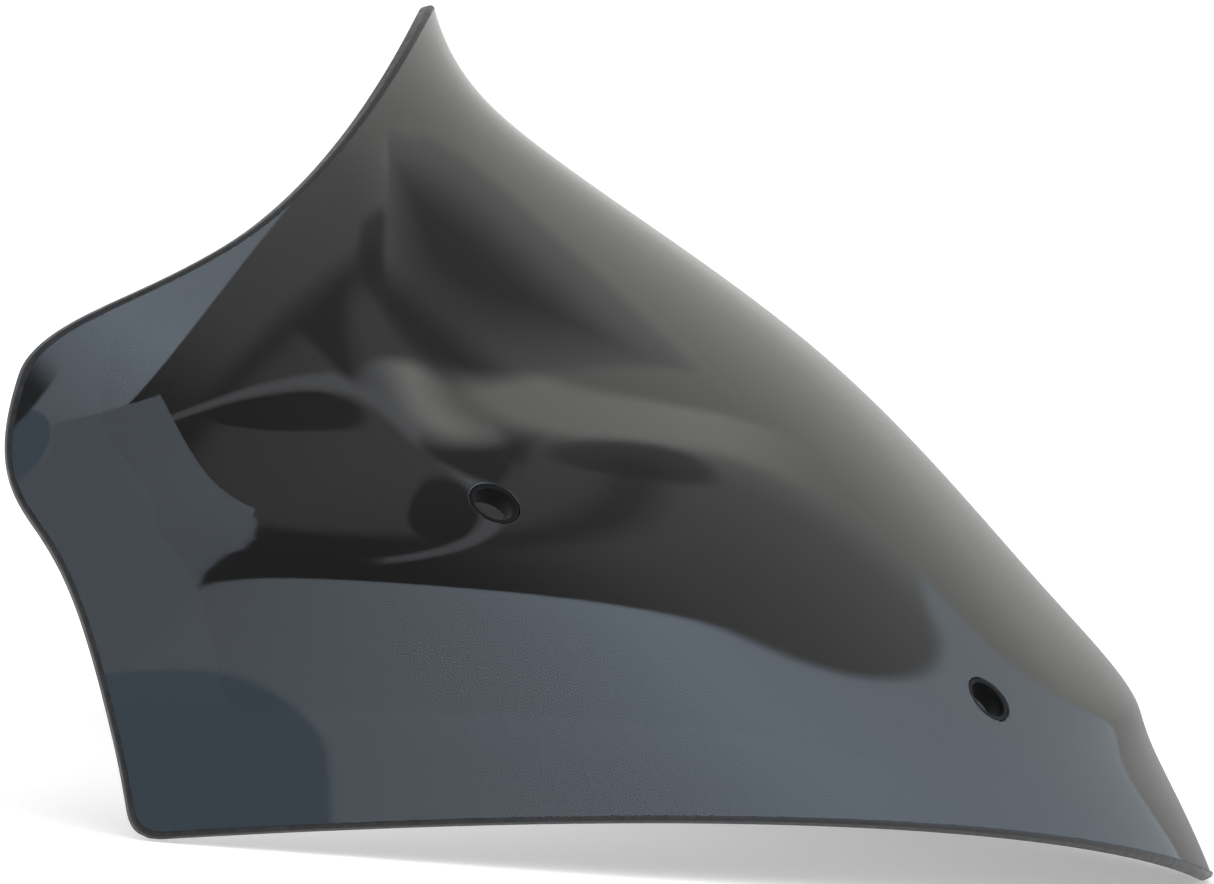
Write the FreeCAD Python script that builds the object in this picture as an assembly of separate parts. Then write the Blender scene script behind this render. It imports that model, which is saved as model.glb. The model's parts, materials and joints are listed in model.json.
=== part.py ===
import FreeCAD, Part
import os
from FreeCAD import Vector

# Motorcycle windshield screen: one thermoformed sheet with a raised lip, flared hips and four bushed
# mounting holes. Millimetres. Front of the motorcycle is -Y, up is +Z, and the rider's right is -X.
# The part stands on its front tip and its two rear lower corners, and it is mirrored about X = 0.

# ---- Driving dimensions ----
SHEET_THICKNESS = 4.5

# Moulded outer face. Each station is one pole row of a spline surface, from the lower edge to the lip:
# reach of the nose from the centre, centre line (y, z), shoulder pole (x, y, z) and rear edge
# pole (x, y, z), for the side where x is positive.
# These poles are fitted values, rounded to half or quarter millimetres, and so are the outline corners
# and hole places below. They aren't worked out from the other dimensions.
STATIONS = [
    (58.0, (-173.5, 2.1), (175.5, -140.5, 40.0), (260.2, 126.0, 0.5)),
    (61.0, (-166.0, 16.0), (177.0, -134.0, 40.0), (259.0, 127.5, 5.1)),
    (65.5, (-148.5, 40.5), (182.5, -120.5, 40.0), (255.5, 130.5, 15.5)),
    (68.0, (-147.0, 53.0), (191.5, -91.0, 42.5), (249.75, 138.5, 37.5)),
    (63.0, (-112.0, 81.0), (201.5, -60.0, 61.5), (239.75, 149.5, 62.5)),
    (60.0, (-48.0, 144.0), (218.5, -16.5, 82.0), (231.75, 161.0, 77.0)),
    (51.5, (39.5, 185.0), (189.5, 52.0, 97.5), (227.5, 177.0, 92.5)),
    (46.5, (72.0, 209.0), (173.0, 90.5, 125.5), (220.75, 168.5, 125.0)),
    (46.5, (79.0, 228.0), (168.5, 102.5, 139.0), (215.75, 163.0, 141.0)),
]
HEIGHT_KNOTS = [0.0, 0.07, 0.15, 0.35, 0.6, 0.85, 1.0]
ACROSS_KNOTS = [-1.0, 0.0, 1.0]
SMOOTH_CENTRE_KNOTS = 2  # repeats of the centre knot: the two halves meet with one tangent
SURFACE_DEGREE = 3

# Outline corners, as shares of the surface cut off along the edge across and the edge upwards.
LOWER_CORNER = (0.01, 0.038)
HIP_CORNER = (0.265, 0.089)

# Mounting holes, as shares of the way round from the centre and of the way up.
HOLE_PLACES = {"front": (0.444, 0.215), "rear": (0.697, 0.613)}
HOLE_DIAMETER = 14.5
HOLE_CHAMFER = 0.5

# Rubber bushings, pushed in from the rider's side until the flange meets the sheet.
BUSHING_BORE = 11.5
BUSHING_RECESS = 0.4
FLANGE_DIAMETER = 20.0
FLANGE_THICKNESS = 2.0
FLANGE_BLANK = 4.0  # before the sheet's curved back is cut out of it

SIDES = {"left": -1, "right": 1}

# How far a tool reaches past what it cuts, the height of the chamfer cone, and the thickening tolerance.
CUT_MARGIN = 10.0
CHAMFER_TOOL_HEIGHT = 2.0
OFFSET_TOLERANCE = 1e-3


def moulded_surface():
    """The outer face as one spline surface: across from -1 at the rider's left to 1 at the right."""
    left_columns = [
        [rear for _, _, _, rear in STATIONS],
        [shoulder for _, _, shoulder, _ in STATIONS],
        [(reach, y, z) for reach, (y, z), _, _ in STATIONS],
    ]
    right_columns = [[(-x, y, z) for x, y, z in column] for column in reversed(left_columns)]
    columns = [[Vector(*pole) for pole in column] for column in left_columns + right_columns]
    surface = Part.BSplineSurface()
    ends = SURFACE_DEGREE + 1
    height_mults = [ends] + [1] * (len(HEIGHT_KNOTS) - 2) + [ends]
    surface.buildFromPolesMultsKnots(
        columns, [ends, SMOOTH_CENTRE_KNOTS, ends], height_mults, ACROSS_KNOTS, HEIGHT_KNOTS,
        False, False, SURFACE_DEGREE, SURFACE_DEGREE,
    )
    return surface


def plane_curve(*poles):
    """A Bezier curve through shares of the surface, straight for two poles and rounded for three."""
    curve = Part.Geom2d.BSplineCurve2d()
    curve.buildFromPoles([FreeCAD.Base.Vector2d(*pole) for pole in poles], False, len(poles) - 1)
    return curve


def outline_curves():
    """The trimmed outline in the surface's own shares, anticlockwise from the left lower corner."""
    low_across, low_up = LOWER_CORNER
    hip_across, hip_up = HIP_CORNER
    corners = [
        ((-1, 0), (-1, low_up), (-1 + low_across, 0)),
        ((1, 0), (1 - low_across, 0), (1, low_up)),
        ((1, 1), (1, 1 - hip_up), (1 - hip_across, 1)),
        ((-1, 1), (-1 + hip_across, 1), (-1, 1 - hip_up)),
    ]
    curves = []
    for index, (corner, start, end) in enumerate(corners):
        following = corners[(index + 1) % len(corners)][1]
        curves.append(plane_curve(start, corner, end))
        curves.append(plane_curve(end, following))
    return curves


def hole_frame(surface, place, side):
    """The point on the outer face at a hole's centre, and the direction straight out of the sheet."""
    across, up = HOLE_PLACES[place]
    across *= SIDES[side]
    point = surface.value(across, up)
    inward = surface.tangent(across, up)[0].cross(surface.tangent(across, up)[1])
    inward.normalize()
    return point, inward * -1


def make_sheet(surface):
    """The trimmed face thickened towards the rider."""
    edges = [curve.toShape(surface) for curve in outline_curves()]
    face = Part.Face(surface, Part.Wire(edges))
    face.validate()
    return face.makeOffsetShape(SHEET_THICKNESS, OFFSET_TOLERANCE, fill=True)


def hole_cutter(point, outward):
    """A drill through the sheet, with a cone for the chamfer at the outer face."""
    radius = HOLE_DIAMETER / 2
    depth = SHEET_THICKNESS + CUT_MARGIN
    drill = Part.makeCylinder(radius, depth + CUT_MARGIN, point - outward * depth, outward)
    tip = point - outward * HOLE_CHAMFER
    cone = Part.makeCone(radius, radius + CHAMFER_TOOL_HEIGHT, CHAMFER_TOOL_HEIGHT, tip, outward)
    return drill.fuse(cone)


def make_bushing(point, outward, screen):
    """A flanged rubber sleeve whose flange takes the curve of the sheet it sits against."""
    depth = SHEET_THICKNESS + FLANGE_THICKNESS
    bottom = point - outward * depth
    sleeve = Part.makeCylinder(HOLE_DIAMETER / 2, depth - BUSHING_RECESS, bottom, outward)
    flange = Part.makeCylinder(FLANGE_DIAMETER / 2, FLANGE_BLANK, bottom, outward)
    bore = Part.makeCylinder(BUSHING_BORE / 2, depth + CUT_MARGIN, bottom - outward, outward)
    return sleeve.fuse(flange.cut(screen)).cut(bore)


def main():
    os.makedirs("parts", exist_ok=True)
    surface = moulded_surface()
    screen = make_sheet(surface)
    frames = {}
    for place in HOLE_PLACES:
        for side in SIDES:
            frames[f"bushing_{place}_{side}"] = hole_frame(surface, place, side)
    for point, outward in frames.values():
        screen = screen.cut(hole_cutter(point, outward))
    screen.exportStep("parts/screen.step")
    print("screen", screen.isValid(), len(screen.Solids), screen.Volume, screen.BoundBox)
    for node, (point, outward) in frames.items():
        bushing = make_bushing(point, outward, screen)
        bushing.exportStep(f"parts/{node}.step")
        print(node, bushing.isValid(), len(bushing.Solids), bushing.Volume, point, outward)


main()
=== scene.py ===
import json
import math
from collections import namedtuple

import bpy
import numpy as np
from mathutils import Matrix, Vector

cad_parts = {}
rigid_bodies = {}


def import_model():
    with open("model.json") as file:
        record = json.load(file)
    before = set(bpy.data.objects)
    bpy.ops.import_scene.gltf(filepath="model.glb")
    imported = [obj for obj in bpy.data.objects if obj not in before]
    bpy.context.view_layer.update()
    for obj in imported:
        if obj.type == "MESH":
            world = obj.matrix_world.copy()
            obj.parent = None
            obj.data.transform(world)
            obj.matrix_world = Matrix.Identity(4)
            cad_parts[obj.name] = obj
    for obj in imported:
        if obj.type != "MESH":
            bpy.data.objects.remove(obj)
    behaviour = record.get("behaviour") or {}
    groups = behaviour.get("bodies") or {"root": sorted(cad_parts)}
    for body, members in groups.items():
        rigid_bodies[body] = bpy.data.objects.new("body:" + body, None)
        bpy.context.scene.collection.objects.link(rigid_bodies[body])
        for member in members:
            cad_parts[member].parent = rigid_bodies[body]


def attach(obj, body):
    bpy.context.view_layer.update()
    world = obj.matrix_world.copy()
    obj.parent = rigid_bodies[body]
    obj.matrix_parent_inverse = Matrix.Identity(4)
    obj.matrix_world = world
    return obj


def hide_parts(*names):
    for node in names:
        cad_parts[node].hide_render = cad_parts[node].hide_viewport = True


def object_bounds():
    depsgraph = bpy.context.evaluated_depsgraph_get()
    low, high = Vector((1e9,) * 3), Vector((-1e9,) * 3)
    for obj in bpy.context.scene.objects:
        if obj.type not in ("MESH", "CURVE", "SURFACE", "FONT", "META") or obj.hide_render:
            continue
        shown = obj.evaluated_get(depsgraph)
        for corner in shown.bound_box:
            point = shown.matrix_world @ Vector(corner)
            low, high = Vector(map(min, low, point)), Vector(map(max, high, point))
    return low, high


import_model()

cad_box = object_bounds()

# Motorcycle windshield screen: a smoked, thermoformed sheet with four rubber bushings. The shape is
# worked out in millimetres from the CAD's own sizes, and built in metres in its frame.
MM = 0.001

# ---- Sizes, the same as the CAD's ----
SHEET_THICKNESS = 4.5

# Moulded outer face. Each station is one pole row of a spline surface, from the lower edge to the lip:
# reach of the nose from the centre, centre line (y, z), shoulder pole (x, y, z) and rear edge
# pole (x, y, z), for the side where x is positive.
# These poles are fitted values, nearly all rounded to half or quarter millimetres. The outline corners
# and hole places below are fitted too. None of them is worked out from the other sizes.
STATIONS = [
    (58.0, (-173.5, 2.1), (175.5, -140.5, 40.0), (260.2, 126.0, 0.5)),
    (61.0, (-166.0, 16.0), (177.0, -134.0, 40.0), (259.0, 127.5, 5.1)),
    (65.5, (-148.5, 40.5), (182.5, -120.5, 40.0), (255.5, 130.5, 15.5)),
    (68.0, (-147.0, 53.0), (191.5, -91.0, 42.5), (249.75, 138.5, 37.5)),
    (63.0, (-112.0, 81.0), (201.5, -60.0, 61.5), (239.75, 149.5, 62.5)),
    (60.0, (-48.0, 144.0), (218.5, -16.5, 82.0), (231.75, 161.0, 77.0)),
    (51.5, (39.5, 185.0), (189.5, 52.0, 97.5), (227.5, 177.0, 92.5)),
    (46.5, (72.0, 209.0), (173.0, 90.5, 125.5), (220.75, 168.5, 125.0)),
    (46.5, (79.0, 228.0), (168.5, 102.5, 139.0), (215.75, 163.0, 141.0)),
]
HEIGHT_KNOTS = [0.0, 0.07, 0.15, 0.35, 0.6, 0.85, 1.0]
SURFACE_DEGREE = 3

# Outline corners, as shares of the surface cut off along the edge across and the edge upwards.
LOWER_CORNER = (0.01, 0.038)
HIP_CORNER = (0.265, 0.089)

# Mounting holes, as shares of the way round from the centre and of the way up, and their bushings.
HOLE_PLACES = {"front": (0.444, 0.215), "rear": (0.697, 0.613)}
SIDES = {"left": -1, "right": 1}
HOLE_RADIUS = 7.25
BUSHING_BORE_RADIUS = 5.75
BUSHING_RECESS = 0.4
FLANGE_RADIUS = 10.0
FLANGE_THICKNESS = 2.0

# ---- Rounded edges, only in this model ----
ARRIS_RADIUS = 1.3
HOLE_ARRIS_RADIUS = 0.6
BUSHING_GAP = 0.03
BORE_FLANGE_ROUND = 0.35
BORE_MOUTH_ROUND = 0.45
SLEEVE_ROUND = 0.3
FLANGE_ROUND = 0.5

# ---- Mesh fineness ----
QUADS_ACROSS = 264
QUADS_UP = 100
ARRIS_STEPS = 5
HOLE_BLOCK = 5  # quads from a hole's middle to the border of its block
HOLE_RINGS = 4  # rings from that border down to the round edge
BUSHING_SEGMENTS = 72
CORNER_SAMPLES = 60
LINE_SAMPLES = 800
RING_PASSES = 6  # corrections that bring a ring of places to its radius
DIFFERENCE = 1e-5  # step for the derivatives, as a share of the surface
TOP_OF_SURFACE = 1.0 - 1e-12  # the last share of the height that still lies in a knot span

# ---- Finish of the edges: how far the holes' walls are buffed, and the outline's own material ----
HOLE_RIM = 0.6
EDGE_MATERIAL = 1


# ---- The moulded surface ----
def height_weights(up):
    """The B-spline weight of every station at these shares of the height."""
    knots = [0.0] * SURFACE_DEGREE + HEIGHT_KNOTS + [1.0] * SURFACE_DEGREE
    up = np.clip(up, 0.0, TOP_OF_SURFACE)
    weights = [((up >= low) & (up < high)).astype(float) for low, high in zip(knots, knots[1:])]
    for degree in range(1, SURFACE_DEGREE + 1):
        raised = []
        for i in range(len(weights) - 1):
            rise = knots[i + degree] - knots[i]
            fall = knots[i + degree + 1] - knots[i + 1]
            total = np.zeros_like(up)
            if rise > 0:
                total = total + weights[i] * (up - knots[i]) / rise
            if fall > 0:
                total = total + weights[i + 1] * (knots[i + degree + 1] - up) / fall
            raised.append(total)
        weights = raised
    return np.stack(weights, -1)


def station_poles():
    """Each station's four poles, from the centre to the rear edge: an array of 9 by 4 by 3."""
    rows = []
    for reach, (y, z), shoulder, rear in STATIONS:
        rows.append([(0.0, y, z), (reach, y, z), shoulder, rear])
    return np.array(rows)


POLES = station_poles()


def outer_point(place):
    """Points of the outer face at places (across, up), across from -1 at the rider's left to 1."""
    across = place[..., 0]
    share = np.abs(across)
    rest = 1.0 - share
    bernstein = np.stack([rest**3, 3 * rest**2 * share, 3 * rest * share**2, share**3], -1)
    points = np.einsum("...a,...j,jak->...k", bernstein, height_weights(place[..., 1]), POLES)
    points[..., 0] *= np.where(across > 0, -1.0, 1.0)
    return points


def tangents(place):
    """The two derivatives of the outer face, taken just inside its borders."""
    inside = np.clip(place, (-1 + DIFFERENCE, DIFFERENCE), (1 - DIFFERENCE, 1 - DIFFERENCE))
    along = []
    for step in ((DIFFERENCE, 0.0), (0.0, DIFFERENCE)):
        ahead = outer_point(inside + step)
        behind = outer_point(inside - np.array(step))
        along.append((ahead - behind) / (2 * DIFFERENCE))
    return along


def unit(vectors):
    return vectors / np.linalg.norm(vectors, axis=-1, keepdims=True)


def outward(place):
    """Unit normals that point out of the motorcycle."""
    across, up = tangents(place)
    return -unit(np.cross(across, up))


def moved_place(place, shift):
    """Places after a small move along the surface, given in millimetres in space."""
    across, up = tangents(place)
    basis = np.stack([across, up], -1)
    step = np.einsum("...ij,...j->...i", np.linalg.pinv(basis), shift)
    return place + step


# ---- The trimmed outline, as one loop of places split at the middle of its rounded corners ----
def rounded_corner(start, corner, end, shares):
    shares = shares[:, None]
    start, corner, end = map(np.array, (start, corner, end))
    return (1 - shares) ** 2 * start + 2 * shares * (1 - shares) * corner + shares**2 * end


def resampled(places, count):
    """The same curve with count equal steps, measured in space."""
    points = outer_point(places)
    lengths = np.concatenate([[0.0], np.cumsum(np.linalg.norm(np.diff(points, axis=0), axis=1))])
    even = np.linspace(0.0, lengths[-1], count + 1)
    return np.stack([np.interp(even, lengths, places[:, k]) for k in range(2)], -1)


def outline_sides():
    """Bottom, right, top and left sides, each from the middle of a corner to the middle of the next."""
    low_across, low_up = LOWER_CORNER
    hip_across, hip_up = HIP_CORNER
    corners = [
        ((-1, low_up), (-1, 0), (-1 + low_across, 0)),
        ((1 - low_across, 0), (1, 0), (1, low_up)),
        ((1, 1 - hip_up), (1, 1), (1 - hip_across, 1)),
        ((-1 + hip_across, 1), (-1, 1), (-1, 1 - hip_up)),
    ]
    first_half = np.linspace(0.0, 0.5, CORNER_SAMPLES)
    second_half = np.linspace(0.5, 1.0, CORNER_SAMPLES)
    straight = np.linspace(0.0, 1.0, LINE_SAMPLES)[:, None]
    sides = []
    for index, corner in enumerate(corners):
        following = corners[(index + 1) % len(corners)]
        line = (1 - straight) * np.array(corner[2]) + straight * np.array(following[0])
        pieces = [
            rounded_corner(*corner, second_half)[:-1],
            line,
            rounded_corner(*following, first_half)[1:],
        ]
        count = QUADS_UP if index % 2 else QUADS_ACROSS
        sides.append(resampled(np.concatenate(pieces), count))
    return sides


def inset_loop(loop, distance):
    """A closed loop of places moved inwards along the surface by a distance in millimetres."""
    points = outer_point(loop)
    along = unit(np.roll(points, -1, axis=0) - np.roll(points, 1, axis=0))
    inward = np.cross(along, outward(loop))
    return moved_place(loop, inward * distance)


def sheet_places():
    """A grid of places whose border lies one arris radius inside the trimmed outline."""
    bottom, right, top, left = outline_sides()
    loop = np.concatenate([bottom[:-1], right[:-1], top[:-1], left[:-1]])
    loop = inset_loop(loop, ARRIS_RADIUS)
    ends = np.cumsum([0, QUADS_ACROSS, QUADS_UP, QUADS_ACROSS, QUADS_UP])
    closed = np.concatenate([loop, loop[:1]])
    bottom, right, top, left = (closed[a : b + 1] for a, b in zip(ends, ends[1:]))
    top = top[::-1]
    left = left[::-1]
    across = np.linspace(0.0, 1.0, QUADS_ACROSS + 1)[:, None, None]
    up = np.linspace(0.0, 1.0, QUADS_UP + 1)[None, :, None]
    between_rows = (1 - up) * bottom[:, None] + up * top[:, None]
    between_columns = (1 - across) * left[None] + across * right[None]
    corners = (1 - across) * ((1 - up) * bottom[0] + up * top[0])
    corners = corners + across * ((1 - up) * bottom[-1] + up * top[-1])
    return between_rows + between_columns - corners


# ---- Mounting holes ----
Hole = namedtuple("Hole", "place centre axis first second")


def make_hole(across, up):
    """A hole's place, centre, outward axis and two cross directions."""
    place = np.array([across, up])
    axis = outward(place)
    first = unit(np.cross(axis, (0.0, 0.0, 1.0)))
    return Hole(place, outer_point(place), axis, first, np.cross(axis, first))


def ring_places(hole, radius, angles):
    """Places where the outer face is a given distance from the hole's axis, at each angle."""
    directions = np.cos(angles)[:, None] * hole.first + np.sin(angles)[:, None] * hole.second
    places = np.repeat(hole.place[None], len(angles), axis=0)
    for _ in range(RING_PASSES):
        offset = outer_point(places) - hole.centre
        offset = offset - (offset @ hole.axis)[:, None] * hole.axis
        places = moved_place(places, directions * radius - offset)
    return places, directions


# ---- Mesh building ----
class MeshParts:
    """Vertices with their normals and a rim weight, and the faces between them."""

    def __init__(self):
        self.points = []
        self.normals = []
        self.rims = []
        self.faces = []
        self.count = 0

    def add(self, points, normals, rim=0.0):
        """Adds vertices and gives back their numbers in the shape of the given array."""
        shape = points.shape[:-1]
        size = int(np.prod(shape))
        self.points.append(points.reshape(-1, 3))
        self.normals.append(np.broadcast_to(normals, points.shape).reshape(-1, 3))
        self.rims.append(np.full(size, rim))
        numbers = np.arange(self.count, self.count + size).reshape(shape)
        self.count += size
        return numbers

    def band(self, first, second):
        """Quads between two closed rings of the same length."""
        following_first = np.roll(first, -1)
        following_second = np.roll(second, -1)
        self.faces.extend(zip(first, following_first, following_second, second))

    def bands(self, rings):
        for first, second in zip(rings, rings[1:]):
            self.band(first, second)

    def build(self, name):
        """The finished object, in metres, with the surface's own normals where they are given."""
        mesh = bpy.data.meshes.new(name)
        points = np.concatenate(self.points) * MM
        faces = [[int(corner) for corner in face] for face in self.faces]
        mesh.from_pydata(points.tolist(), [], faces)
        rim = mesh.attributes.new("rim", "FLOAT", "POINT")
        rim.data.foreach_set("value", np.concatenate(self.rims).astype(np.float32))
        mesh.shade_smooth()
        normals = np.concatenate(self.normals)
        if normals.any():
            mesh.normals_split_custom_set_from_vertices(normals.tolist())
        obj = bpy.data.objects.new(name, mesh)
        bpy.context.scene.collection.objects.link(obj)
        return obj


def border_loop(numbers):
    """The border of a grid of vertex numbers, anticlockwise from its first corner."""
    bottom = numbers[:-1, 0]
    right = numbers[-1, :-1]
    top = numbers[:0:-1, -1]
    left = numbers[0, :0:-1]
    return np.concatenate([bottom, right, top, left])


def add_edge(parts, start, finish, start_points, finish_points, face_out, side_out, radius, rim=0.0):
    """Rounds over both arrises between two rings and joins them with a flat wall."""
    rings = [start]
    turns = np.linspace(0.0, math.pi / 2, ARRIS_STEPS + 1)[1:]
    for turn in turns:
        normal = math.sin(turn) * side_out + math.cos(turn) * face_out
        rings.append(parts.add(start_points - radius * face_out + radius * normal, normal, rim))
    for turn in turns[::-1]:
        normal = math.sin(turn) * side_out - math.cos(turn) * face_out
        rings.append(parts.add(finish_points + radius * face_out + radius * normal, normal, rim))
    rings.append(finish)
    parts.bands(rings)


def hole_block(hole, points):
    """The first column and row of the block of quads around a hole."""
    distance = np.linalg.norm(points - hole.centre, axis=-1)
    column, row = np.unravel_index(np.argmin(distance), distance.shape)
    return column - HOLE_BLOCK, row - HOLE_BLOCK


def hole_rings(hole, loop_places):
    """Rings of places from the square border of a block down to the hole's round edge."""
    offset = outer_point(loop_places) - hole.centre
    angles = np.unwrap(np.arctan2(offset @ hole.second, offset @ hole.first))
    turn = np.sign(angles[-1] - angles[0]) * 2 * math.pi
    even = np.arange(len(angles)) * turn / len(angles)
    even = even + np.mean(angles - even)
    round_places, directions = ring_places(hole, HOLE_RADIUS + HOLE_ARRIS_RADIUS, even)
    rings = []
    for share in np.linspace(0.0, 1.0, HOLE_RINGS + 1)[1:]:
        rings.append((1 - share) * loop_places + share * round_places)
    return rings, directions


def add_hole(parts, hole, places, points, outer, inner):
    """Builds a hole and the rings that join it to the border of its block, and gives back the block."""
    column, row = hole_block(hole, points)
    width = 2 * HOLE_BLOCK
    block = np.s_[column : column + width + 1, row : row + width + 1]
    outer_ring = border_loop(outer[block])
    inner_ring = border_loop(inner[block])
    rings, directions = hole_rings(hole, places.reshape(-1, 2)[outer_ring])
    outer_rings = [outer_ring]
    inner_rings = [inner_ring]
    for ring in rings:
        ring_points = outer_point(ring)
        ring_normals = outward(ring)
        ring_backs = ring_points - SHEET_THICKNESS * ring_normals
        outer_rings.append(parts.add(ring_points, ring_normals))
        inner_rings.append(parts.add(ring_backs, -ring_normals))
    parts.bands(outer_rings[::-1])
    parts.bands(inner_rings)
    axis = np.broadcast_to(hole.axis, directions.shape)
    add_edge(parts, inner_rings[-1], outer_rings[-1], ring_backs, ring_points,
             -axis, -directions, HOLE_ARRIS_RADIUS, HOLE_RIM)
    return np.s_[column : column + width, row : row + width]


def add_outline_edge(parts, points, normals, outer, inner):
    """The wall between both faces all round the outline."""
    outer_loop = border_loop(outer)
    inner_loop = border_loop(inner)
    loop_points = points.reshape(-1, 3)[outer_loop]
    loop_normals = normals.reshape(-1, 3)[outer_loop]
    along = unit(np.roll(loop_points, -1, axis=0) - np.roll(loop_points, 1, axis=0))
    side_out = np.cross(loop_normals, along)
    loop_backs = loop_points - SHEET_THICKNESS * loop_normals
    add_edge(parts, outer_loop, inner_loop, loop_points, loop_backs,
             loop_normals, side_out, ARRIS_RADIUS)


def make_screen():
    """The sheet with both faces, its rounded edge and four round holes, as one closed mesh."""
    parts = MeshParts()
    places = sheet_places()
    points = outer_point(places)
    normals = outward(places)
    outer = parts.add(points, normals)
    inner = parts.add(points - SHEET_THICKNESS * normals, -normals)
    open_quads = np.ones((QUADS_ACROSS, QUADS_UP), bool)
    for across, up in HOLE_PLACES.values():
        for side in SIDES.values():
            hole = make_hole(side * across, up)
            open_quads[add_hole(parts, hole, places, points, outer, inner)] = False
    for column, row in zip(*np.nonzero(open_quads)):
        quad = [(column, row), (column + 1, row), (column + 1, row + 1), (column, row + 1)]
        parts.faces.append([outer[corner] for corner in reversed(quad)])
        parts.faces.append([inner[corner] for corner in quad])
    first_edge_face = len(parts.faces)
    add_outline_edge(parts, points, normals, outer, inner)
    sheet = parts.build("screen_sheet")
    for face in sheet.data.polygons[first_edge_face:]:
        face.material_index = EDGE_MATERIAL
    return sheet


screen = make_screen()
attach(screen, "root")
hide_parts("screen")


# ---- Rubber bushings ----
def bushing_profile():
    """Radius and height above the outer face, once round the section of a bushing."""
    bore = BUSHING_BORE_RADIUS
    sleeve = HOLE_RADIUS - BUSHING_GAP
    top = -BUSHING_RECESS
    under_sheet = -SHEET_THICKNESS
    bottom = under_sheet - FLANGE_THICKNESS
    corners = [
        (bore, bottom, BORE_FLANGE_ROUND), (bore, top, BORE_MOUTH_ROUND), (sleeve, top, SLEEVE_ROUND),
        (sleeve, under_sheet, 0.0),
        (FLANGE_RADIUS, under_sheet, FLANGE_ROUND), (FLANGE_RADIUS, bottom, FLANGE_ROUND),
    ]
    section = []
    for index, (radius, height, round_over) in enumerate(corners):
        corner = np.array((radius, height))
        before = unit(np.array(corners[index - 1][:2]) - corner)
        after = unit(np.array(corners[(index + 1) % len(corners)][:2]) - corner)
        if round_over == 0:
            section.append(corner)
            continue
        middle = corner + (before + after) * round_over
        for share in np.linspace(0.0, 1.0, ARRIS_STEPS):
            turn = share * math.pi / 2
            section.append(middle - round_over * (math.cos(turn) * after + math.sin(turn) * before))
    return np.array(section)


def make_bushing(name, across, up):
    """A turned sleeve whose flange top follows the back of the sheet."""
    hole = make_hole(across, up)
    angles = np.linspace(0.0, 2 * math.pi, BUSHING_SEGMENTS, endpoint=False)
    parts = MeshParts()
    rings = []
    for radius, height in bushing_profile():
        places, directions = ring_places(hole, radius, angles)
        backs = outer_point(places) - SHEET_THICKNESS * outward(places)
        dip = (backs - hole.centre) @ hole.axis + SHEET_THICKNESS
        follow = np.clip((radius - HOLE_RADIUS) / (FLANGE_RADIUS - HOLE_RADIUS), 0.0, 1.0)
        if height < -SHEET_THICKNESS - FLANGE_THICKNESS / 2:
            follow = 0.0
        lift = height + (dip - BUSHING_GAP) * follow
        points = hole.centre + directions * radius + lift[:, None] * hole.axis
        rings.append(parts.add(points, np.zeros(3)))
    parts.bands(rings + rings[:1])
    return parts.build(name)


for place_name, (hole_across, hole_up) in HOLE_PLACES.items():
    for side_name, side_sign in SIDES.items():
        node = f"bushing_{place_name}_{side_name}"
        bushing = make_bushing(f"{node}_rubber", side_sign * hole_across, hole_up)
        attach(bushing, "root")
        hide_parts(node)


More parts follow.
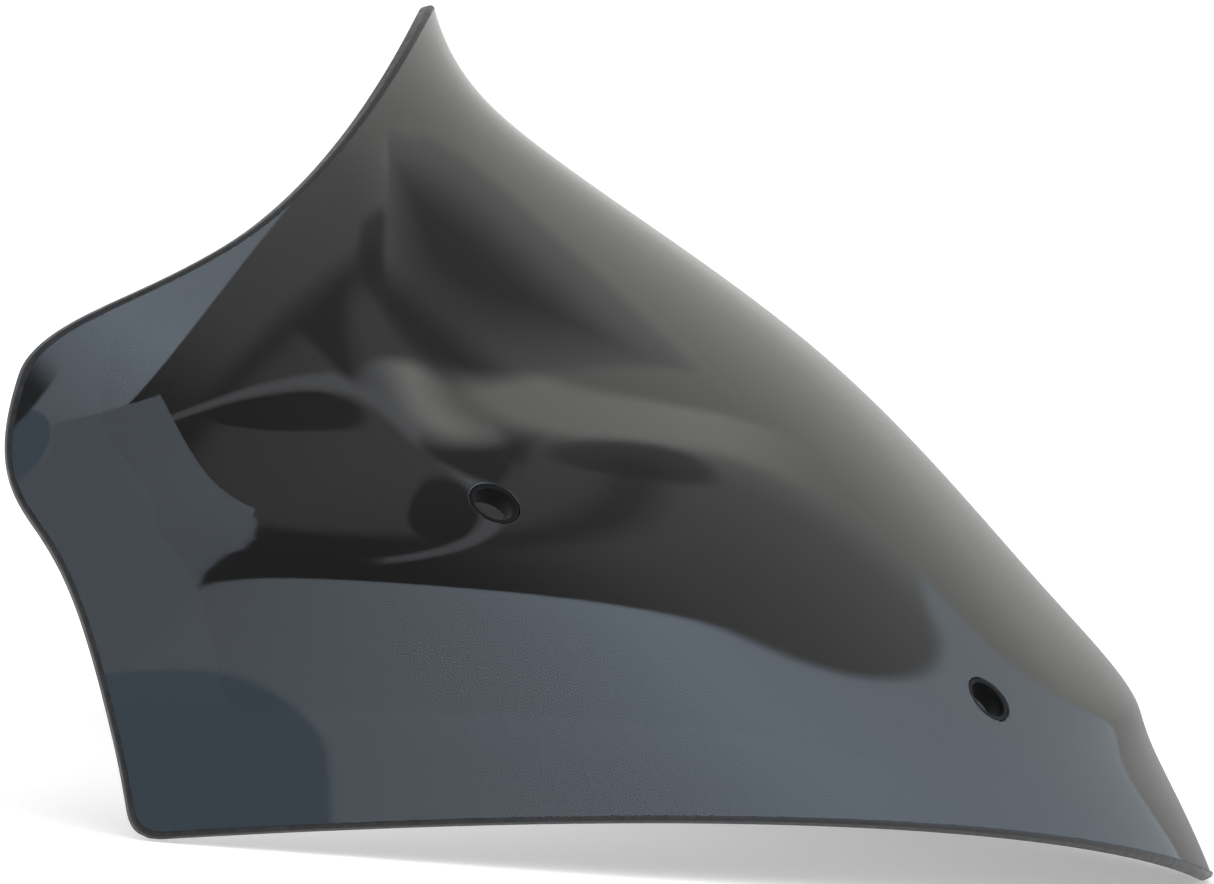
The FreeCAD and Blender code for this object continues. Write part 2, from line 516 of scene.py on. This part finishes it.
# ---- Node trees ----
class Paint:
    """Adds nodes to one node tree, fed by numbers, colours or the sockets of other nodes."""

    def __init__(self, tree):
        self.nodes = tree.nodes
        self.links = tree.links

    def feed(self, socket, value):
        if isinstance(value, bpy.types.NodeSocket):
            self.links.new(value, socket)
        elif isinstance(value, tuple):
            socket.default_value = (*value, 1.0)
        else:
            socket.default_value = value

    def math(self, operation, *values):
        node = self.nodes.new("ShaderNodeMath")
        node.operation = operation
        for socket, value in zip(node.inputs, values):
            self.feed(socket, value)
        return node.outputs["Value"]

    def product(self, *factors):
        total = factors[0]
        for factor in factors[1:]:
            total = self.math("MULTIPLY", total, factor)
        return total

    def range(self, value, low, high, lowest=0.0, highest=1.0, smooth=False):
        """Goes from lowest to highest while the value goes from low to high, and no further."""
        node = self.nodes.new("ShaderNodeMapRange")
        node.interpolation_type = "SMOOTHSTEP" if smooth else "LINEAR"
        for name, number in zip(("From Min", "From Max", "To Min", "To Max"), (low, high, lowest, highest)):
            self.feed(node.inputs[name], number)
        self.feed(node.inputs["Value"], value)
        return node.outputs["Result"]

    def rising(self, value, span):
        """A smooth step from 0 at the start of a span to 1 at its end."""
        return self.range(value, *span, smooth=True)

    def falling(self, value, span):
        """A smooth step from 1 at the start of a span to 0 at its end."""
        return self.range(value, *span, 1.0, 0.0, smooth=True)

    def above(self, value, edge, softness):
        """0 below the edge and 1 above it, with a smooth step as wide as the softness."""
        offset = self.math("SUBTRACT", value, edge)
        return self.range(offset, -softness / 2, softness / 2, smooth=True)

    def below(self, value, edge, softness):
        """1 below the edge and 0 above it, with the same smooth step."""
        return self.above(edge, value, softness)

    def ellipse(self, across, up, centre, radii, turn=0.0):
        """0 at the centre of an ellipse, 1 on its border and more outside it."""
        across = self.math("SUBTRACT", across, centre[0])
        up = self.math("SUBTRACT", up, centre[1])
        squares = []
        for angle, radius in zip((turn, turn + math.pi / 2), radii):
            across_part = self.math("MULTIPLY", across, math.cos(angle) / radius)
            up_part = self.math("MULTIPLY", up, math.sin(angle) / radius)
            offset = self.math("ADD", across_part, up_part)
            squares.append(self.math("MULTIPLY", offset, offset))
        return self.math("ADD", *squares)

    def mix(self, share, base, top):
        """The colour base where the share is 0, and top where it is 1."""
        node = self.nodes.new("ShaderNodeMix")
        node.data_type = "RGBA"
        self.links.new(share, node.inputs["Factor"])
        for name, value in (("A", base), ("B", top)):
            socket = next(s for s in node.inputs if s.name == name and s.type == "RGBA")
            self.feed(socket, value)
        return next(s for s in node.outputs if s.type == "RGBA")

    def noise(self, coordinates, scale, detail, stretch=(1.0, 1.0, 1.0)):
        mapping = self.nodes.new("ShaderNodeMapping")
        mapping.inputs["Scale"].default_value = stretch
        self.links.new(coordinates, mapping.inputs["Vector"])
        node = self.nodes.new("ShaderNodeTexNoise")
        node.inputs["Scale"].default_value = scale
        node.inputs["Detail"].default_value = detail
        self.links.new(mapping.outputs["Vector"], node.inputs["Vector"])
        return node.outputs["Fac"]

    def bump(self, height, strength, distance, normal=None):
        node = self.nodes.new("ShaderNodeBump")
        node.inputs["Strength"].default_value = strength
        node.inputs["Distance"].default_value = distance
        self.links.new(height, node.inputs["Height"])
        if normal:
            self.links.new(normal, node.inputs["Normal"])
        return node.outputs["Normal"]

    def coordinates(self):
        return self.nodes.new("ShaderNodeTexCoord").outputs["Object"]

    def split(self, vector):
        """The three numbers of a vector."""
        node = self.nodes.new("ShaderNodeSeparateXYZ")
        self.links.new(vector, node.inputs["Vector"])
        return tuple(node.outputs)

    def emission(self, colour):
        node = self.nodes.new("ShaderNodeEmission")
        self.feed(node.inputs["Color"], colour)
        return node.outputs["Emission"]

    def output(self, surface):
        node = self.nodes.new("ShaderNodeOutputMaterial")
        self.links.new(surface, node.inputs["Surface"])


def new_material(name):
    """A material with its paint, its Principled shader and its output."""
    material = bpy.data.materials.new(name)
    material.use_nodes = True
    nodes = material.node_tree.nodes
    return material, Paint(material.node_tree), nodes["Principled BSDF"], nodes["Material Output"]


# ---- Materials. Noise scales are per metre, and distances in metres. ----
SHEET_IOR = 1.56
DYE_ABSORPTION = (0.02, 0.05, 0.08)
DYE_DENSITY = 1300.0
DYE_COLOURS = ((0.88, 0.9, 0.92), (0.95, 0.96, 0.97))
HAZE_ROUGHNESS = (0.012, 0.03)
WIPE_ROUGHNESS = (0.0, 0.025)
WIPE_STRETCH = (0.35, 1.0, 2.4)
BUFFED_ROUGHNESS = (0.1, 0.26)
EDGE_COLOURS = ((0.007, 0.007, 0.008), (0.02, 0.02, 0.021))
EDGE_SPECULAR = 0.3
EDGE_ROUGHNESS = (0.34, 0.52)
RUBBER_COLOURS = ((0.002, 0.002, 0.0025), (0.008, 0.008, 0.0085))
RUBBER_SPECULAR = 0.12
RUBBER_ROUGHNESS = (0.42, 0.68)
NOISE_SPAN = (0.3, 0.7)  # most of a noise's values lie in here
UPPER_NOISE_SPAN = (0.35, 0.7)
WIPE_SPAN = (0.5, 0.7)
BLOOM_SPAN = (0.35, 0.75)


def smoked_plastic():
    """Clear glossy sheet, dyed through, with haze and wipe marks, and buffed where its holes are cut."""
    material, paint, shader, output = new_material("smoked_plastic_sheet")
    shader.inputs["IOR"].default_value = SHEET_IOR
    shader.inputs["Transmission Weight"].default_value = 1.0
    absorption = paint.nodes.new("ShaderNodeVolumeAbsorption")
    paint.feed(absorption.inputs["Color"], DYE_ABSORPTION)
    absorption.inputs["Density"].default_value = DYE_DENSITY
    paint.links.new(absorption.outputs["Volume"], output.inputs["Volume"])

    place = paint.coordinates()
    rim_node = paint.nodes.new("ShaderNodeAttribute")
    rim_node.attribute_name = "rim"
    rim = rim_node.outputs["Fac"]

    haze = paint.noise(place, scale=14.0, detail=6.0)
    dye = paint.mix(paint.range(haze, *NOISE_SPAN), *DYE_COLOURS)
    paint.links.new(dye, shader.inputs["Base Color"])

    buffing = paint.noise(place, scale=900.0, detail=4.0)
    wipe_marks = paint.noise(place, scale=60.0, detail=3.0, stretch=WIPE_STRETCH)
    face_roughness = paint.math(
        "ADD", paint.range(haze, *UPPER_NOISE_SPAN, *HAZE_ROUGHNESS),
        paint.range(wipe_marks, *WIPE_SPAN, *WIPE_ROUGHNESS))
    buffed_roughness = paint.range(buffing, *NOISE_SPAN, *BUFFED_ROUGHNESS)
    roughness = paint.nodes.new("ShaderNodeMix")
    for name, value in (("Factor", rim), ("A", face_roughness), ("B", buffed_roughness)):
        paint.links.new(value, roughness.inputs[name])
    paint.links.new(roughness.outputs["Result"], shader.inputs["Roughness"])

    waves = paint.noise(place, scale=24.0, detail=1.0)
    forming_waves = paint.bump(waves, strength=0.1, distance=0.0004)
    rim_buffing = paint.math("MULTIPLY", buffing, rim)
    grit = paint.bump(rim_buffing, strength=0.25, distance=0.0002, normal=forming_waves)
    paint.links.new(grit, shader.inputs["Normal"])
    return material


def sheet_edge():
    """The sawn edge, so dark that no light comes through it."""
    material, paint, shader, _ = new_material("smoked_plastic_edge")
    saw_marks = paint.noise(paint.coordinates(), scale=420.0, detail=4.0)
    colour = paint.mix(paint.range(saw_marks, *UPPER_NOISE_SPAN), *EDGE_COLOURS)
    paint.links.new(colour, shader.inputs["Base Color"])
    shader.inputs["Specular IOR Level"].default_value = EDGE_SPECULAR
    paint.links.new(paint.range(saw_marks, *NOISE_SPAN, *EDGE_ROUGHNESS), shader.inputs["Roughness"])
    paint.links.new(paint.bump(saw_marks, strength=0.3, distance=0.0003), shader.inputs["Normal"])
    return material


def black_rubber():
    """Moulded rubber: matt, with a fine grain and a faint grey bloom."""
    material, paint, shader, _ = new_material("black_rubber_moulded")
    place = paint.coordinates()
    bloom = paint.noise(place, scale=260.0, detail=5.0)
    colour = paint.mix(paint.range(bloom, *BLOOM_SPAN), *RUBBER_COLOURS)
    paint.links.new(colour, shader.inputs["Base Color"])
    shader.inputs["Specular IOR Level"].default_value = RUBBER_SPECULAR
    paint.links.new(paint.range(bloom, *NOISE_SPAN, *RUBBER_ROUGHNESS), shader.inputs["Roughness"])
    grain = paint.noise(place, scale=2600.0, detail=3.0)
    paint.links.new(paint.bump(grain, strength=0.3, distance=0.0001), shader.inputs["Normal"])
    return material


screen.data.materials.append(smoked_plastic())
screen.data.materials.append(sheet_edge())
rubber_material = black_rubber()
for piece in bpy.context.scene.objects:
    if piece.name.endswith("_rubber"):
        piece.data.materials.append(rubber_material)


# ---- Floor and lights: surfaces that aren't part of the object ----
FLOOR_HALF = 12.0
FLOOR_COLOUR = (0.93, 0.93, 0.93)
FLOOR_GLOW_COLOUR = (1.0, 1.0, 1.0)
FLOOR_GLOW = 0.3
WHITE_SURROUNDINGS = (1.2, 1.2, 1.2)


def stage_object(name, points, faces, material):
    """A floor or light surface, placed at the height of the object's foot."""
    mesh = bpy.data.meshes.new(name)
    mesh.from_pydata(points, [], faces)
    mesh.materials.append(material)
    obj = bpy.data.objects.new(name, mesh)
    bpy.context.scene.collection.objects.link(obj)
    obj.location.z = cad_box[0].z
    return obj


def stage_card(name, height, corners, material):
    """One level four-cornered surface."""
    points = [(x, y, height) for x, y in corners]
    return stage_object(name, points, [(0, 1, 2, 3)], material)


def floor_material():
    """Matt and pale, with a little glow that keeps shadows faint."""
    material, paint, shader, _ = new_material("pale_floor")
    paint.feed(shader.inputs["Base Color"], FLOOR_COLOUR)
    shader.inputs["Roughness"].default_value = 1.0
    shader.inputs["Specular IOR Level"].default_value = 0.0
    paint.feed(shader.inputs["Emission Color"], FLOOR_GLOW_COLOUR)
    shader.inputs["Emission Strength"].default_value = FLOOR_GLOW
    return material


floor_corners = [(x * FLOOR_HALF, y * FLOOR_HALF) for x, y in ((-1, -1), (1, -1), (1, 1), (-1, 1))]
stage_card("floor", 0.0, floor_corners, floor_material())


# ---- Even white light all round, which the floor and the backdrop show ----
world = bpy.data.worlds.new("studio")
bpy.context.scene.world = world
world.use_nodes = True
world.node_tree.nodes["Background"].inputs["Color"].default_value = (*WHITE_SURROUNDINGS, 1.0)


# ---- Light surfaces round the object that only its gloss shows ----
def light_material(name):
    """A material that has no nodes yet and won't be sampled as a lamp."""
    material = bpy.data.materials.new(name)
    material.use_nodes = True
    material.node_tree.nodes.clear()
    material.cycles.emission_sampling = "NONE"
    return material


# Colours of the tent's panels.
DARK_CEILING = (0.27, 0.27, 0.28)
GREY_CEILING = (0.65, 0.65, 0.66)
TOP_CEILING = (0.55, 0.55, 0.54)
FRONT_PANEL = (2.05, 2.4, 2.8)
FRONT_PANEL_LEFT = (0.85, 0.93, 1.0)
FRONT_PANEL_RIGHT = (1.25, 1.4, 1.55)
SIDE_WALL = (0.85, 0.85, 0.83)
SIDE_WALL_FAR = (1.1, 1.1, 1.07)
CAMERA_SIDE_WALL = (1.15, 1.3, 1.5)
NEAR_PATCH = (0.8, 1.05, 1.32)
BACK_WALL = (0.95, 0.98, 1.02)
HOOP_LAMP = (1.8, 1.8, 1.75)
HOOP_LAMP_END = (0.95, 0.97, 1.02)
SIDE_LAMP = (1.4, 1.4, 1.36)

# Places of the tent's panels, in degrees. A span is where a change starts and where it ends. An edge is
# its place and the width of its soft step. An arch is its highest elevation, the azimuth of that point
# and its fall per square degree.
TENT_RADIUS = 0.8
TENT_SEGMENTS = 96
TENT_RINGS = 32
TOP_SPAN = (62.0, 70.0)
GREY_AZIMUTH_SPAN = (-60.0, -5.0)
GREY_ELEVATION_SPAN = (58.0, 66.0)
LENS_CENTRE = (-0.139, 0.257)  # in plan, as shares of the tent's radius, like the radii
LENS_RADII = (0.18, 0.045)
LENS_TURN = -19.6
LENS_SOFTNESS = 0.3
HOOP_ARCH = (77.0, 26.0, 0.0033)
HOOP_WIDENING_SPAN = (8.0, 24.0)
HOOP_HALF_WIDTHS = (1.2, 2.6)
HOOP_SOFTNESS = 1.4
HOOP_BRIGHTENING_SPAN = (20.0, 32.0)
HOOP_RIGHT_EDGE = (-60.0, 6.0)
HOOP_LEFT_EDGE = (52.0, 6.0)
SIDE_TOP_SOFTNESS = 3.0
SIDE_WALL_SPAN = (30.0, 42.0)
SIDE_WALL_FAR_SPAN = (45.0, 80.0)
SIDE_WALL_FOOT_SPAN = (28.0, 0.0)
SIDE_WALL_FOOT_SHADE = 0.85
SIDE_LAMP_RIGHT_EDGE = (40.0, 5.0)
SIDE_LAMP_LEFT_EDGE = (49.5, 2.5)
SIDE_LAMP_SPAN = (42.0, 58.0)
SHADE_CENTRE = (33.5, 64.0)
SHADE_RADII = (7.0, 8.0)
SHADE_SPAN = (0.5, 1.3)
SHADE_STRENGTH = 0.7
FRONT_ARCH = (47.0, -24.0, 0.0022)
FRONT_ARCH_SOFTNESS = 0.8
FRONT_LEFT_FADE_SPAN = (-22.0, 42.0)
FRONT_RIGHT_FADE_SPAN = (-30.0, -80.0)
FRONT_END_ELEVATIONS = (12.0, 35.0)
FRONT_END_AZIMUTHS = (47.0, 40.0)
FRONT_END_SOFTNESS = 1.5
CAMERA_WALL_ELEVATIONS = (40.0, 66.0)
CAMERA_WALL_AZIMUTHS = (-85.0, -78.0)
CAMERA_WALL_WAVE = 5.0
CAMERA_WALL_SOFTNESS = 1.0
PATCH_CENTRE = (-82.0, 27.0)
PATCH_RADII = (13.0, 8.0)
PATCH_SOFTNESS = 0.15
LOW_STRIP_TOP_EDGE = (24.0, 1.5)
LOW_STRIP_FRONT_EDGE = (-58.0, 14.0)
BACK_WALL_TOP_SPAN = (38.0, 60.0)
BACK_WALL_SPAN = (105.0, 140.0)


class TentPaint(Paint):
    """Lays panels out in azimuth (0 in front, 90 at the rider's left) and elevation, in degrees."""

    def __init__(self, tree):
        super().__init__(tree)
        normalize = self.nodes.new("ShaderNodeVectorMath")
        normalize.operation = "NORMALIZE"
        self.links.new(self.coordinates(), normalize.inputs[0])
        self.direction = normalize.outputs["Vector"]
        left, back, up = self.split(self.direction)
        front = self.math("MULTIPLY", back, -1.0)
        self.elevation = self.math("DEGREES", self.math("ARCSINE", up))
        self.azimuth = self.math("DEGREES", self.math("ARCTAN2", left, front))
        self.hoop = self.arch(*HOOP_ARCH)
        self.colour = DARK_CEILING

    def arch(self, top, middle, fall):
        """The elevation of a curve that is highest at one azimuth."""
        offset = self.math("SUBTRACT", self.azimuth, middle)
        return self.math("SUBTRACT", top, self.product(offset, offset, fall))

    def cover(self, share, colour):
        """Lays a panel over everything painted before it."""
        self.colour = self.mix(share, self.colour, colour)

    def add_ceiling(self):
        self.cover(self.rising(self.elevation, TOP_SPAN), TOP_CEILING)
        grey = self.product(
            self.rising(self.azimuth, GREY_AZIMUTH_SPAN), self.falling(self.elevation, GREY_ELEVATION_SPAN))
        self.cover(grey, GREY_CEILING)

    def add_lens(self):
        """A slanting dark ellipse in the ceiling, in front and to the rider's right, laid out in plan."""
        turn = self.math("RADIANS", self.azimuth)
        flatness = self.math("COSINE", self.math("RADIANS", self.elevation))
        left = self.math("MULTIPLY", self.math("SINE", turn), flatness)
        front = self.math("MULTIPLY", self.math("COSINE", turn), flatness)
        lens = self.ellipse(left, front, LENS_CENTRE, LENS_RADII, math.radians(LENS_TURN))
        self.cover(self.below(lens, 1.0, LENS_SOFTNESS), DARK_CEILING)

    def add_hoop(self):
        """A narrow lamp along an arch, which widens towards the rider's left."""
        offset = self.math("ABSOLUTE", self.math("SUBTRACT", self.elevation, self.hoop))
        half_width = self.range(self.azimuth, *HOOP_WIDENING_SPAN, *HOOP_HALF_WIDTHS, smooth=True)
        light = self.mix(self.rising(self.azimuth, HOOP_BRIGHTENING_SPAN), HOOP_LAMP_END, HOOP_LAMP)
        share = self.product(
            self.below(offset, half_width, HOOP_SOFTNESS),
            self.above(self.azimuth, *HOOP_RIGHT_EDGE), self.below(self.azimuth, *HOOP_LEFT_EDGE))
        self.cover(share, light)

    def add_left_side(self):
        """The wall at the rider's left, the lamp on its front part and a shaded patch beside it."""
        wall = self.mix(self.range(self.azimuth, *SIDE_WALL_FAR_SPAN), SIDE_WALL, SIDE_WALL_FAR)
        foot = self.range(self.elevation, *SIDE_WALL_FOOT_SPAN, 0.0, SIDE_WALL_FOOT_SHADE)
        wall = self.mix(foot, wall, DARK_CEILING)
        under_hoop = self.below(self.elevation, self.hoop, SIDE_TOP_SOFTNESS)
        self.cover(self.product(self.rising(self.azimuth, SIDE_WALL_SPAN), under_hoop), wall)
        lamp = self.product(
            self.above(self.azimuth, *SIDE_LAMP_RIGHT_EDGE), self.below(self.azimuth, *SIDE_LAMP_LEFT_EDGE),
            self.rising(self.elevation, SIDE_LAMP_SPAN), under_hoop)
        self.cover(lamp, SIDE_LAMP)
        shade = self.ellipse(self.azimuth, self.elevation, SHADE_CENTRE, SHADE_RADII)
        self.cover(self.range(shade, *SHADE_SPAN, SHADE_STRENGTH, 0.0, smooth=True), DARK_CEILING)

    def add_front_panel(self):
        """The brightest panel, under an arch and fading towards both ends."""
        light = self.mix(self.range(self.azimuth, *FRONT_LEFT_FADE_SPAN), FRONT_PANEL, FRONT_PANEL_LEFT)
        light = self.mix(self.range(self.azimuth, *FRONT_RIGHT_FADE_SPAN), light, FRONT_PANEL_RIGHT)
        left_end = self.range(self.elevation, *FRONT_END_ELEVATIONS, *FRONT_END_AZIMUTHS)
        share = self.product(
            self.below(self.elevation, self.arch(*FRONT_ARCH), FRONT_ARCH_SOFTNESS),
            self.below(self.azimuth, left_end, FRONT_END_SOFTNESS))
        self.cover(share, light)

    def add_camera_side(self):
        """The wall at the rider's right with a wavy front edge, a bluer patch and a dark low strip."""
        wave = self.math("MULTIPLY", self.noise(self.direction, scale=9.0, detail=2.0), CAMERA_WALL_WAVE)
        straight_edge = self.range(self.elevation, *CAMERA_WALL_ELEVATIONS, *CAMERA_WALL_AZIMUTHS)
        front_edge = self.math("ADD", straight_edge, wave)
        self.cover(self.below(self.azimuth, front_edge, CAMERA_WALL_SOFTNESS), CAMERA_SIDE_WALL)
        patch = self.ellipse(self.azimuth, self.elevation, PATCH_CENTRE, PATCH_RADII)
        self.cover(self.below(patch, 1.0, PATCH_SOFTNESS), NEAR_PATCH)
        low_strip = self.product(
            self.below(self.elevation, *LOW_STRIP_TOP_EDGE), self.below(self.azimuth, *LOW_STRIP_FRONT_EDGE))
        self.cover(low_strip, DARK_CEILING)

    def add_back_wall(self):
        wall = self.mix(self.rising(self.elevation, BACK_WALL_TOP_SPAN), BACK_WALL, TOP_CEILING)
        turn = self.math("ABSOLUTE", self.azimuth)
        self.cover(self.rising(turn, BACK_WALL_SPAN), wall)


def tent_light():
    """The tent's panels, each laid over the ones before it."""
    material = light_material("light_tent")
    paint = TentPaint(material.node_tree)
    paint.add_ceiling()
    paint.add_lens()
    paint.add_hoop()
    paint.add_left_side()
    paint.add_front_panel()
    paint.add_camera_side()
    paint.add_back_wall()
    paint.output(paint.emission(paint.colour))
    return material


def make_tent():
    """A hemisphere over the object."""
    points = []
    for ring in range(TENT_RINGS):
        rise = ring / TENT_RINGS * math.pi / 2
        for segment in range(TENT_SEGMENTS):
            turn = segment / TENT_SEGMENTS * 2 * math.pi
            reach = TENT_RADIUS * math.cos(rise)
            points.append((reach * math.cos(turn), reach * math.sin(turn), TENT_RADIUS * math.sin(rise)))
    top = len(points)
    points.append((0.0, 0.0, TENT_RADIUS))
    faces = []
    for ring in range(TENT_RINGS):
        for segment in range(TENT_SEGMENTS):
            following = (segment + 1) % TENT_SEGMENTS
            low = ring * TENT_SEGMENTS
            high = low + TENT_SEGMENTS
            if ring == TENT_RINGS - 1:
                faces.append((low + segment, low + following, top))
            else:
                faces.append((low + segment, low + following, high + following, high + segment))
    return stage_object("light_tent", points, faces, tent_light())


# Dark card above the lip, in metres. Each line is its slope and its place along Y where X is 0, and
# the fades beside the lines are measured along Y from them.
FLAG_HEIGHT = 0.33
FLAG_BACK = 0.02
FLAG_FRONT = -0.13
FLAG_RIGHT_SPAN = (-0.07, -0.054)
FLAG_LEFT_SPAN = (0.085, 0.115)
FLAG_DARK = (0.3, 0.3, 0.31)
FLAG_GLOW = (0.72, 0.72, 0.71)
FLAG_GLOW_SPAN = (0.02, 0.085)
SLOT_BACK_LINE = (-0.605, -0.0473)
SLOT_BACK_SOFTNESS = 0.008
SLOT_GLOW_FADE = (0.0, 0.026)
SLOT_GLOW_SPAN = (-0.045, -0.015)
SLOT_FRONT_LINE = (-0.873, -0.0897)
SLOT_FRONT_SPAN = (-0.006, 0.012)
FRONT_PART_RIGHT_SPAN = (-0.108, -0.098)
FRONT_PART_BACK_SPAN = (-0.006, 0.0)
FRONT_PART_FRONT_SPAN = (-0.05, -0.036)


def flag_light():
    """The card's parts in front of and behind its slanting slot, and clear everywhere else."""
    material = light_material("dark_flag")
    paint = Paint(material.node_tree)
    across, along, _ = paint.split(paint.coordinates())

    def past_line(slope, height):
        """How far behind a slanting line each point lies, measured along Y."""
        line = paint.math("ADD", paint.math("MULTIPLY", across, slope), height)
        return paint.math("SUBTRACT", along, line)

    behind_slot = past_line(*SLOT_BACK_LINE)
    back_part = paint.product(
        paint.above(behind_slot, 0.0, SLOT_BACK_SOFTNESS),
        paint.rising(across, FLAG_RIGHT_SPAN), paint.falling(across, FLAG_LEFT_SPAN))
    front_part = paint.product(
        paint.falling(past_line(*SLOT_FRONT_LINE), SLOT_FRONT_SPAN),
        paint.rising(across, FRONT_PART_RIGHT_SPAN),
        paint.falling(along, FRONT_PART_BACK_SPAN), paint.rising(along, FRONT_PART_FRONT_SPAN))

    slot_glow = paint.product(
        paint.range(behind_slot, *SLOT_GLOW_FADE, 1.0, 0.0), paint.rising(across, SLOT_GLOW_SPAN))
    glow = paint.math("MAXIMUM", slot_glow, paint.rising(across, FLAG_GLOW_SPAN))
    clear = paint.nodes.new("ShaderNodeBsdfTransparent")
    blend = paint.nodes.new("ShaderNodeMixShader")
    layers = (
        paint.math("MAXIMUM", back_part, front_part),
        clear.outputs["BSDF"],
        paint.emission(paint.mix(glow, FLAG_DARK, FLAG_GLOW)),
    )
    for socket, layer in zip(blend.inputs, layers):
        paint.links.new(layer, socket)
    paint.output(blend.outputs["Shader"])
    return material


def make_flag():
    """A dark card above the lip, cut through by the slanting slot that the side lamp shines through."""
    right = FRONT_PART_RIGHT_SPAN[0]
    left = FLAG_LEFT_SPAN[1]
    corners = [(right, FLAG_BACK), (right, FLAG_FRONT), (left, FLAG_FRONT), (left, FLAG_BACK)]
    return stage_card("dark_flag", FLAG_HEIGHT, corners, flag_light())


REFLECTOR_HEIGHT = 0.165
REFLECTOR_LIGHT = (1.15, 1.3, 1.5)
REFLECTOR_CORNERS = [(-0.3, 0.085), (-0.217, 0.085), (-0.217, 0.13), (-0.3, 0.13)]


def make_hip_reflector():
    """A small pale card beside the hip at the rider's right, which lights the hollow above the hip."""
    material = light_material("hip_reflector")
    paint = Paint(material.node_tree)
    paint.output(paint.emission(REFLECTOR_LIGHT))
    return stage_card("hip_reflector", REFLECTOR_HEIGHT, REFLECTOR_CORNERS, material)


for light_surface in (make_tent(), make_flag(), make_hip_reflector()):
    light_surface.visible_camera = False
    light_surface.visible_diffuse = False
    light_surface.visible_transmission = False
    light_surface.visible_volume_scatter = False
    light_surface.visible_shadow = False


# ---- Camera: at the rider's right, a little above the base and rolled. Lengths in millimetres. ----
CAMERA_DISTANCE = 2500.0
CAMERA_ELEVATION = math.radians(2.0)
CAMERA_ROLL = math.radians(6.32)
CAMERA_TARGET = np.array([0.0, 11.5, 108.5])
FRAME_OFFSET = (-3.77, -0.58)  # the camera's shift to its own right and upwards
FRAME_WIDTH_AT_TARGET = 351.9
SENSOR_WIDTH = 36.0  # of the camera itself
FURTHEST_SEEN = 50.0  # in metres, past the floor's far corners

back = np.array([-math.cos(CAMERA_ELEVATION), 0.0, math.sin(CAMERA_ELEVATION)])
level_right = np.array([0.0, -1.0, 0.0])
level_up = np.cross(back, level_right)
right = math.cos(CAMERA_ROLL) * level_right + math.sin(CAMERA_ROLL) * level_up
upward = math.cos(CAMERA_ROLL) * level_up - math.sin(CAMERA_ROLL) * level_right
eye = CAMERA_TARGET + CAMERA_DISTANCE * back + FRAME_OFFSET[0] * right + FRAME_OFFSET[1] * upward
camera_data = bpy.data.cameras.new("camera")
camera = bpy.data.objects.new("camera", camera_data)
bpy.context.scene.collection.objects.link(camera)
camera_turn = Matrix((right, upward, back)).transposed().to_quaternion()
camera.matrix_world = Matrix.LocRotScale(Vector(eye * MM), camera_turn, None)
camera_data.sensor_width = SENSOR_WIDTH
camera_data.lens = SENSOR_WIDTH * CAMERA_DISTANCE / FRAME_WIDTH_AT_TARGET
camera_data.clip_end = FURTHEST_SEEN
bpy.context.scene.camera = camera
bpy.context.scene.view_settings.view_transform = "Standard"
